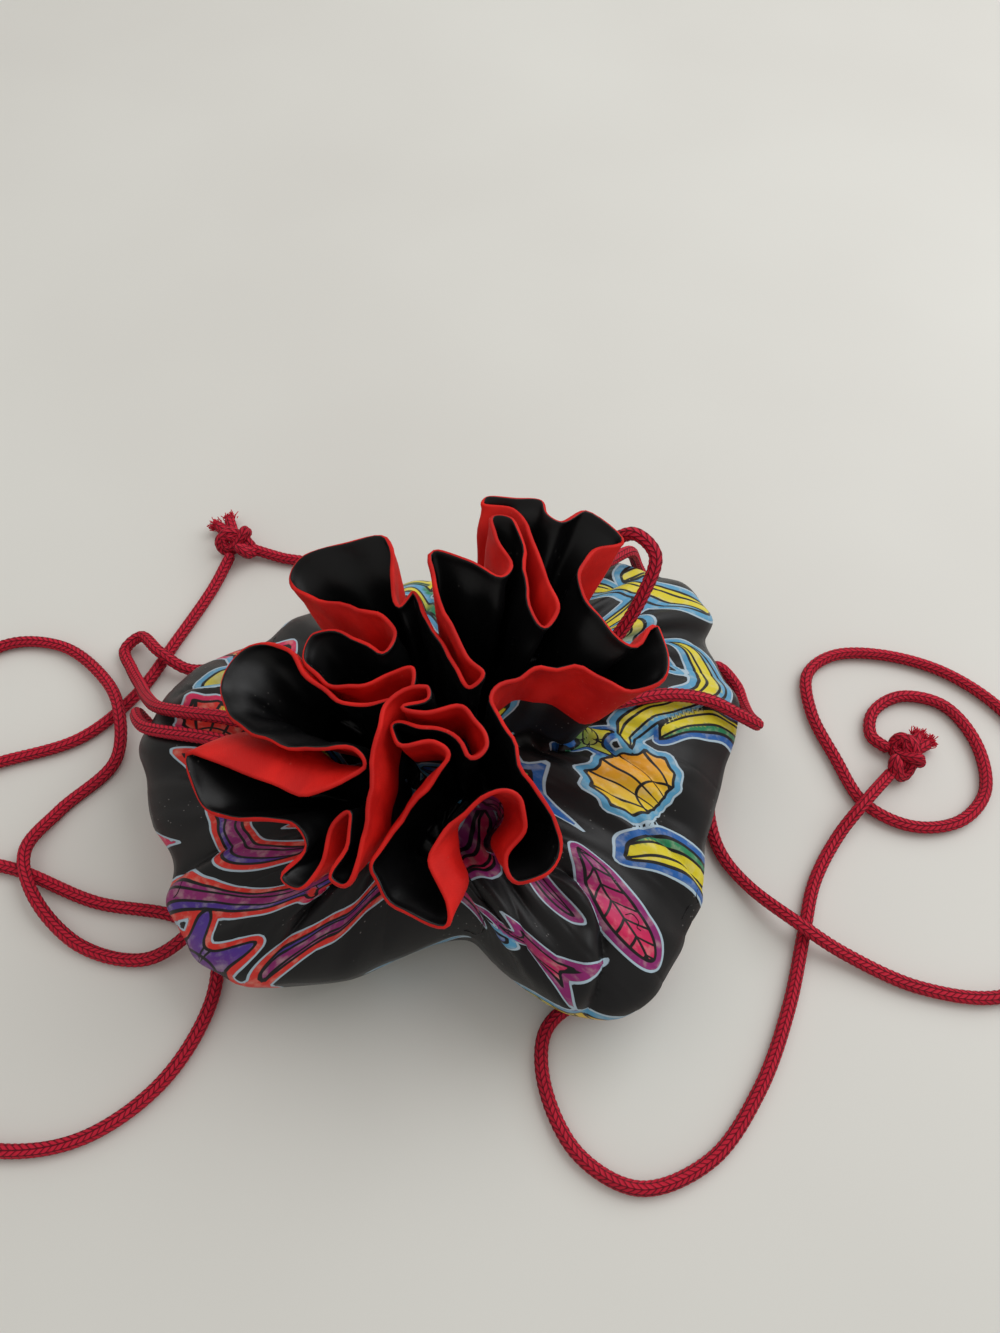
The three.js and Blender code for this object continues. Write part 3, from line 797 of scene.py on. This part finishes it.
# Pleats that gather at the cords, folds and wrinkles on the bag, and ripples at the edge
def pleatDepths():
    radius = rowRadius[:, None]
    height = surface[..., 2]
    sway = pleats["sway"] * clothNoise(disc, pleats["swaySpacing"], 11)
    fold = 0.5 + 0.5 * np.cos(pleats["count"] * turn[None] + sway)
    away = radius - channelRadius
    near = np.exp(-np.where(away < 0, -away / pleats["reach"], away / pleats["reachUp"]))
    uneven = np.clip(0.6 + 0.4 * clothNoise(disc, pleats["unevenSpacing"], 12), 0.1, 1.3)
    gathered = -pleats["depth"] * (1 - fold) ** 1.5 * near * uneven * rising(height, 0.004, 0.01)

    streak = headings * (pleats["foldRadius"] + pleats["foldStretch"] * radius)[..., None]
    shoulder = np.exp(-((radius - pleats["foldMiddle"]) / pleats["foldReach"]) ** 2)
    folds = clothNoise(streak, pleats["foldSpacing"], 15) * pleats["foldDepth"] * shoulder
    lines = crossings(streak, pleats["lineSpacing"], 16, pleats["lineWidth"])
    lines = lines * crossings(disc, pleats["breakSpacing"], 17, pleats["breakWidth"])
    lines = lines * pleats["lineDepth"] * shoulder
    wrinkles = pleats["wrinkleDepth"] * (clothNoise(disc, pleats["wrinkleSpacing"], 13) - 0.6)
    bag = wrinkles + folds - lines + sum(creaseDepth(*crease) for crease in creases)
    bag *= rising(height, 0.003, 0.008) * (away < 0.004)

    fade = pleats["petalFade"]
    petal = rising(away, 0, fade) * rising(cloth["discRadius"] - radius, 0, fade)
    soft = clothNoise(streak, pleats["petalSpacing"], 18) * pleats["petalDepth"] * petal
    edge = rising(radius, cloth["discRadius"] - pleats["rippleReach"], pleats["rippleReach"]) ** 1.5
    ripples = pleats["rippleDepth"] * clothNoise(disc, pleats["rippleSpacing"], 14) * edge
    return gathered + bag + soft + ripples


normals = outward(surface)
surface = surface + normals * pleatDepths()[..., None]
normals = outward(surface)
normals[:cloth["footRows"] - 1] = (0, 0, -1)


# Rows of the cloth from first to last, moved out by an offset
def layer(first, last, offset):
    return surface[first:last + 1] + normals[first:last + 1] * offset - middle


# The print: hand-inked ribbons, leaves, waves, blossoms, shells and bolts on a black ground. Each
# has a pale outline, a coloured border, a black line and a fill of two colours.
inks = {
    "yellow": paint(214, 198, 40),
    "amber": paint(226, 158, 38),
    "green": paint(34, 124, 82),
    "sky": paint(84, 152, 190),
    "blue": paint(34, 92, 162),
    "plum": paint(140, 40, 108),
    "crimson": paint(204, 40, 88),
    "red": paint(214, 48, 40),
    "violet": paint(78, 50, 142),
}
printing = {
    "border": 0.0029,
    "line": 0.0006,             # half the black line's width
    "outline": 0.0008,
    "wobble": 0.0004,
    "wobbleSpacing": 0.016,
    "brushScale": 240.0,
    "brush": paint(230, 226, 200),
    "pale": paint(178, 200, 214),
    "ground": paint(23, 22, 23),
    "speck": paint(170, 168, 165),
    "reverse": paint(16, 16, 17),
    "spacing": 0.0005,          # of the threads
    "rough": 0.38,
    "gloss": 0.24,
}
# For each ring of motifs: radius on the disc, how many, half-length, first angle in turns
motifRings = [
    (0.000, 1, 0.024, 0.0), (0.050, 6, 0.022, 0.02), (0.092, 10, 0.024, 0.05),
    (0.128, 15, 0.026, 0.01), (0.163, 20, 0.025, 0.05), (0.188, 14, 0.018, 0.01),
]
# The inks of a border and of the two ends of a fill, from the back of the bag and anticlockwise
palettes = [
    ("sky", "yellow", "green"), ("sky", "yellow", "blue"), ("crimson", "red", "red"),
    ("red", "plum", "violet"), ("sky", "blue", "violet"), ("plum", "crimson", "plum"),
    ("sky", "yellow", "amber"), ("blue", "yellow", "green"), ("sky", "yellow", "sky"),
    ("green", "yellow", "sky"),
]


# A power that keeps the sign, for outlines between an oval and a box
def squared(value, power):
    return np.sign(value) * np.abs(value) ** power


# Each motif's outline in its own length units, counted round
def leafOutline(t):
    x = np.cos(t)
    return np.column_stack([x, 0.42 * np.sin(t) * (1 - 0.25 * x) + 0.28 * x * x - 0.14])


def waveOutline(t):
    x = squared(np.cos(t), 0.7)
    return np.column_stack([1.25 * x, 0.26 * squared(np.sin(t), 0.6) + 0.24 * np.sin(2.9 * x)])


def blossomOutline(t):
    reach = 0.72 + 0.24 * np.cos(5 * t)
    return np.column_stack([reach * np.cos(t), reach * np.sin(t)])


def shellOutline(t):
    reach = (0.62 + 0.36 * np.cos(t)) * (1 + 0.05 * np.cos(14 * t))
    return np.column_stack([reach * np.cos(t), 1.25 * reach * np.sin(t)])


def boltOutline(t):
    corners = np.array([[1, 0.05], [0.25, 0.28], [0.42, 0.62], [-0.3, 0.3], [-1, 0.5], [-0.42, -0.02],
                        [-0.6, -0.42], [0.05, -0.12], [1, 0.05]])
    place = t / (2 * math.pi) * (len(corners) - 1)
    return np.column_stack([np.interp(place, np.arange(len(corners)), side) for side in corners.T])


def ribbonOutline(t):
    x = 1.7 * squared(np.cos(t), 0.5)
    return np.column_stack([x, 0.32 * squared(np.sin(t), 0.4) + 0.38 * np.sin(1.7 * x)])


# The inner lines of each motif are where these two are nought
def leafLines(x, y):
    spine = y - 0.28 * x * x + 0.14
    return spine, 0.09 * np.sin(12 * (x + 0.8 * np.abs(spine)))


def waveLines(x, y):
    spine = y - 0.24 * np.sin(2.9 * x)
    return spine - 0.07, 0.10 * np.sin(4.2 * x + 2.5 * spine) + 0.22


def blossomLines(x, y):
    reach = np.hypot(x, y)
    return reach - 0.24, 0.16 * np.cos(5 * np.arctan2(y, x)) + 0.12


def shellLines(x, y):
    reach = np.hypot(x + 0.15, y)
    return reach - 0.35, 0.09 * np.sin(11 * np.arctan2(y, x + 0.6))


def ribbonLines(x, y):
    spine = y - 0.38 * np.sin(1.7 * x)
    return spine - 0.08, spine + 0.10


def boltLines(x, y):
    return y - 0.15 * x, np.full_like(x, 1.0)


farthest = 2.3                  # that any motif reaches, in its own length units
kinds = [
    (ribbonOutline, ribbonLines), (leafOutline, leafLines), (blossomOutline, blossomLines),
    (waveOutline, waveLines), (ribbonOutline, ribbonLines), (shellOutline, shellLines),
    (boltOutline, boltLines),
]


# Distance to a closed outline, negative inside it
def outlineDistance(points, outline):
    best = np.full(len(points), 1e9)
    inside = np.zeros(len(points), bool)
    for start, end in zip(outline, np.roll(outline, -1, axis=0)):
        way = end - start
        to = points - start
        along = np.clip((to @ way) / max(way @ way, 1e-18), 0, 1)
        best = np.minimum(best, np.linalg.norm(to - along[:, None] * way, axis=1))
        crosses = (start[1] > points[:, 1]) != (end[1] > points[:, 1])
        rise = way[1] if abs(way[1]) > 1e-12 else 1e-12
        inside ^= crosses & (points[:, 0] < start[0] + way[0] * (points[:, 1] - start[1]) / rise)
    return np.where(inside, -best, best)


# What the print needs to know at each point of the disc: the distance to the nearest motif's
# edge, how far off its two sets of inner lines are, and its border and fill colours
def printFields(place):
    place = place.reshape(-1, 2)
    shake = [clothNoise(place, printing["wobbleSpacing"], seed) for seed in (21, 22)]
    shaky = place + printing["wobble"] * np.stack(shake, axis=1)
    edge = np.full(len(place), 0.02)
    lineA, lineB = np.full((2, len(place)), 0.01)
    border = np.tile(printing["ground"], (len(place), 1))
    fill = border.copy()
    draw = np.random.default_rng(5)
    rounds = np.linspace(0, 2 * math.pi, 72, endpoint=False)
    number = 0
    for radius, count, size, first in motifRings:
        for n in range(count):
            angle = 2 * math.pi * (n / count + first) + draw.normal(0, 0.25) / max(count, 3)
            at = (radius + draw.normal(0, 0.004)) * np.array([math.cos(angle), math.sin(angle)])
            tilt = draw.uniform(0, 2 * math.pi)
            length = size * draw.uniform(0.8, 1.15)
            outline, lines = kinds[(number * 3 + draw.integers(2)) % len(kinds)]
            side = int(angle / (2 * math.pi) * len(palettes) + draw.uniform(-0.9, 0.9))
            colours = [np.array(inks[c]) for c in palettes[side % len(palettes)]]
            number += 1
            cos, sin = math.cos(tilt), math.sin(tilt)
            local = (shaky - at) @ np.array([[cos, -sin], [sin, cos]]) / length
            near = np.flatnonzero(np.hypot(local[:, 0], local[:, 1]) < farthest)
            away = outlineDistance(local[near], outline(rounds)) * length
            closer = away < edge[near]
            index = near[closer]
            edge[index] = away[closer]
            x, y = local[index].T
            one, two = lines(x, y)
            lineA[index], lineB[index] = one * length, two * length
            run = (one > 0).astype(float) if lines is ribbonLines else np.clip(0.5 + 0.9 * x + 0.5 * y, 0, 1)
            border[index] = colours[0]
            fill[index] = colours[1] + (colours[2] - colours[1]) * run[:, None]
    return {"printEdge": edge, "printLineA": lineA, "printLineB": lineB,
            "printBorder": border, "printFill": fill}


# A value or a colour stored at each point of a piece
def addField(piece, name, values):
    kind, key = ("FLOAT_COLOR", "color") if values.ndim == 2 else ("FLOAT", "value")
    field = piece.data.attributes.new(name, kind, "POINT")
    field.data.foreach_set(key, np.ascontiguousarray(values, dtype=np.float32).ravel())


# The printed cloth, whose motifs come from the fields stored on its points
def printedMaterial():
    m = Shader("printedCloth")
    place = m.flatPlace()

    def field(name, output="Fac"):
        return m.node("ShaderNodeAttribute", {"attribute_name": name}).outputs[output]

    # 1 where a value is close to nought, 0 from outer on
    def stroke(value, outer, inner):
        return m.ramp(m.math("ABSOLUTE", value), outer, inner)

    edge = field("printEdge")
    depth = m.math("ADD", edge, printing["border"])
    wide, half = printing["outline"], printing["line"]
    outline = stroke(m.math("SUBTRACT", edge, wide * 0.45), wide * 0.62, wide * 0.42)
    inside = m.ramp(edge, 0.0, -0.0002)
    filled = m.ramp(depth, 0.0001, -0.0001)
    lines = [stroke(field(name), half * 1.1, half * 0.7) for name in ("printLineA", "printLineB")]
    inner = m.times(m.math("MAXIMUM", *lines), filled)
    black = m.math("MAXIMUM", stroke(depth, half * 1.2, half * 0.8), inner)
    brush = m.flatNoise(place, printing["brushScale"], 4.0)
    colour = m.mix(filled, field("printBorder", "Color"), field("printFill", "Color"))
    colour = m.mix(m.times(m.ramp(brush, 0.45, 0.8), 0.25), colour, printing["brush"])
    colour = m.mix(black, colour, printing["ground"])
    colour = m.mix(inside, printing["ground"], colour)
    colour = m.mix(m.times(outline, 0.9), colour, printing["pale"])
    colour = m.mix(m.use(lint, Place=place, Amount=0.35)["Mask"], colour, printing["speck"])
    colour = m.mix(m.node("ShaderNodeNewGeometry").outputs["Backfacing"], colour, printing["reverse"])
    threads = m.use(weave, Place=place, Spacing=printing["spacing"], Slub=0.5)
    rough = m.times(threads["Tone"], printing["rough"])
    return m.finish(colour, rough, printing["gloss"], m.bump(threads["Height"], 0.18, grain["threadHeight"]))


# Cloth of one colour, a little worn
def plainClothMaterial(name, settings):
    m = Shader(name)
    place = m.flatPlace()
    worn = m.flatNoise(place, settings["wornScale"], 5.0)
    colour = m.mix(m.ramp(worn, 0.35, 0.7), settings["dark"], settings["light"])
    colour = m.mix(m.use(lint, Place=place, Amount=settings["lint"])["Mask"], colour, settings["speck"])
    threads = m.use(weave, Place=place, Spacing=settings["spacing"], Slub=0.7)
    rough = m.times(threads["Tone"], settings["rough"])
    bump = m.bump(threads["Height"], settings["bump"], grain["threadHeight"])
    return m.finish(colour, rough, settings["gloss"], bump)


printed = printedMaterial()
redCloth = plainClothMaterial("redCloth", {
    "light": paint(216, 30, 23), "dark": paint(190, 21, 17), "speck": paint(226, 120, 105),
    "wornScale": 70.0, "spacing": 0.0006, "lint": 0.2, "rough": 0.6, "bump": 0.35, "gloss": 0.2,
})
satin = plainClothMaterial("blackSatin", {
    "light": paint(15, 14, 15), "dark": paint(10, 10, 11), "speck": paint(120, 116, 114),
    "wornScale": 70.0, "spacing": 0.0004, "lint": 0.5, "rough": 0.33, "bump": 0.15, "gloss": 0.26,
})


print("outer cloth, band and lining")
band = {
    "bead": 0.00076,            # radius of its rolled edge
    "stand": 0.0002,            # proud of the printed cloth
    "tuck": 0.0004,             # of its lower edge and of the printed cloth's upper one
    "turnedOver": 0.74,         # share of the roll that is red
    "rollStep": 0.0003,
}


# Part of the rolled edge: the band goes over the top, and the lining meets it there
def edgeRows(leans):
    up = surface[-1] - surface[-2]
    up /= np.linalg.norm(up, axis=1)[:, None]
    top = surface[-1] - middle - up * band["bead"]
    return [top + (normals[-1] * math.cos(a) + up * math.sin(a)) * band["bead"] for a in leans]


# Places on the flat disc for rows that may end in a rolled edge, of the given number of rows
def discUv(radii, rolled=0):
    radii = np.concatenate([radii, cloth["discRadius"] + np.arange(rolled) * band["rollStep"]])
    uv = radii[:, None, None] * headings
    return np.concatenate([uv, uv[:, :1]], axis=1)


meeting = math.pi * band["turnedOver"]
outerRows = layer(0, seamAt, cloth["skin"])
outerRows[-1] -= normals[seamAt] * band["tuck"]
outer = rowMesh("printedBody", outerRows, discUv(rowRadius[:seamAt + 1]), printed,
                firstPole=[0, 0, outerRows[0][:, 2].mean()])
for name, values in printFields(disc[:seamAt + 1]).items():
    addField(outer, name, np.concatenate([values, values[:1]]))

liningRows = list(layer(0, lastRow - 1, -cloth["skin"]))
liningRows = np.array(liningRows + edgeRows(np.linspace(math.pi, meeting, 5)))
liningUv = discUv(rowRadius[:lastRow], 5)
lining = rowMesh("blackLining", liningRows[:, ::-1], liningUv[:, ::-1], satin,
                 firstPole=[0, 0, liningRows[0][:, 2].mean()])

bandRows = list(layer(seamAt, lastRow, cloth["skin"] + band["stand"]))
bandRows[0] = bandRows[0] - normals[seamAt] * band["tuck"]
bandRows = np.array(bandRows[:-1] + edgeRows(np.linspace(0, meeting, 7)))
redBand = rowMesh("redBand", bandRows, discUv(rowRadius[seamAt:lastRow], 7), redCloth)

sheets = {
    outer: ("printed_cloth", "outer_cloth", 2 * (cloth["discRadius"] - cloth["bandHeight"])),
    lining: ("lining_cloth", "lining", 2 * cloth["discRadius"]),
}
for piece, (finish, node, across) in sheets.items():
    dress(piece, finish, node)
dress(redBand, "red_cloth", "red_band")


print("loose threads")
loose = {
    "radius": 0.00016,
    "lift": 0.0004,
    "curl": 0.0012,
    "threads": [
        # Place on the drawing, direction in degrees, length
        ((0.018, -0.050), 200, 0.009), ((0.080, 0.084), 40, 0.008), ((0.084, -0.038), 250, 0.010),
        ((-0.080, -0.038), 215, 0.010), ((-0.060, 0.050), 120, 0.006), ((0.060, -0.050), 330, 0.006),
    ],
}


# A short thread that lies on the bag, with a curl in it
def looseThread(place, degrees, long):
    ahead = np.array([math.cos(math.radians(degrees)), math.sin(math.radians(degrees))])
    aside = np.array([-ahead[1], ahead[0]])
    above = surface[:channelAt].reshape(-1, 3)
    facing = normals[:channelAt].reshape(-1, 3)
    points = []
    for share in np.linspace(0, 1, 6):
        flat = np.array(place) + ahead * long * share + aside * loose["curl"] * math.sin(share * 5)
        away = np.linalg.norm(above[:, :2] - flat, axis=1)
        near = np.where(above[:, 2] < cloth["bellyHeight"], np.inf, away).argmin()
        points.append(above[near] + facing[near] * loose["lift"] - middle)
    return plainTube("looseThread", smoothCurve(points, 4), loose["radius"], satin)


threads = joined("looseThreads", [looseThread(*thread) for thread in loose["threads"]])
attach(threads, "root")


print("floor and light")
floor = {
    "reach": 4.0,
    "drop": 0.0002,             # below the object's lowest point
    "dark": paint(215, 213, 207),
    "light": paint(222, 221, 215),
    "rough": 0.5,
    "gloss": 0.5,
}


def floorMaterial():
    m = Shader("paleTable")
    place = m.node("ShaderNodeTexCoord").outputs["Object"]
    slow = m.node("ShaderNodeTexNoise", Vector=place, Scale=3.0, Detail=3.0).outputs[0]
    colour = m.mix(m.ramp(slow, 0.3, 0.7), floor["dark"], floor["light"])
    return m.finish(colour, floor["rough"], floor["gloss"])


floorMesh = bpy.data.meshes.new("table")
corners = [(x * floor["reach"], y * floor["reach"], 0) for x, y in ((-1, -1), (1, -1), (1, 1), (-1, 1))]
floorMesh.from_pydata(corners, [], [(0, 1, 2, 3)])
floorMesh.materials.append(floorMaterial())
table = placed("table", floorMesh, (0, 0, -floor["drop"]))

lamps = {
    "window": {"at": (1.0, 0.65, 1.15), "size": 1.5, "power": 16, "tint": (0.97, 0.985, 1.0)},
    "room": {"at": (-0.5, 0.5, 1.2), "size": 1.8, "power": 3.2, "tint": (1.0, 0.985, 0.96)},
}
for name, lamp in lamps.items():
    light = bpy.data.lights.new(name, "AREA")
    light.energy = lamp["power"]
    light.size = lamp["size"]
    light.color = lamp["tint"]
    holder = placed(name, light, lamp["at"])
    holder.rotation_euler = (-Vector(lamp["at"])).to_track_quat("-Z", "Y").to_euler()

world = bpy.data.worlds.new("room")
world.use_nodes = True
sky = world.node_tree.nodes["Background"]
sky.inputs["Color"].default_value = paint(232, 230, 226)
sky.inputs["Strength"].default_value = 0.59
bpy.context.scene.world = world
bpy.context.scene.view_settings.view_transform = "Standard"

print("done")
